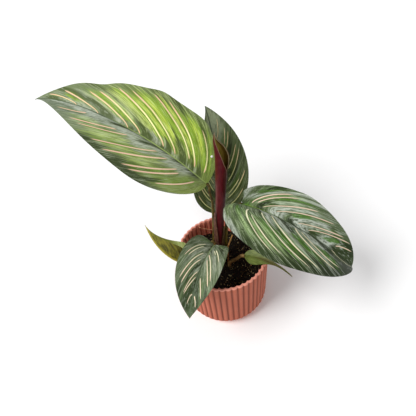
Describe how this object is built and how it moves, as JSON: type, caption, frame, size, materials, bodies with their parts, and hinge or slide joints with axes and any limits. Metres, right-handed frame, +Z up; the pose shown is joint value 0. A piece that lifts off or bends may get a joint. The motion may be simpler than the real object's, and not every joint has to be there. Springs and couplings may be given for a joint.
{
  "type": "potted calathea",
  "caption": "Young pin-stripe calathea with broad striped leaves and a rolled new leaf, growing in a small fluted pot filled with soil.",
  "frame": {"origin": "middle of the pot's flat base, on the surface it stands on", "axes": "+Z up; the picture's view looks along +Y and down, with +X to its right"},
  "size_m": [0.2001, 0.1342, 0.1546],
  "materials": {
    "pot": "matt terracotta colour, smooth flutes",
    "soil": "crumbly dark potting mix with pale specks",
    "leaf_bright": "waxy leaf, yellow-green bands and fine pale pink stripes",
    "leaf_dark": "waxy dark leaf with fine pale stripes",
    "leaf_olive": "satin olive underside of a young leaf",
    "stalk": "satin olive-brown leaf stalk",
    "shoot": "glossy dark maroon rolled leaf",
    "sheath": "papery olive-brown leaf sheath",
    "dry_stalk": "dry orange-brown stalk"
  },
  "bodies": {
    "root": {"pot": "pot", "soil": "soil", "blade_left_large": "leaf_bright", "stalk_left_large": "stalk", "blade_back": "leaf_dark", "stalk_back": "stalk", "blade_right": "leaf_bright", "stalk_right": "stalk", "blade_front": "leaf_dark", "stalk_front": "stalk", "blade_small_left": "leaf_olive", "stalk_small_left": "stalk", "blade_small_right": "leaf_olive", "stalk_small_right": "stalk", "new_shoot": "shoot", "sheath_left": "sheath", "sheath_right": "sheath", "dry_stalk": "dry_stalk"}
  },
  "joints": []
}
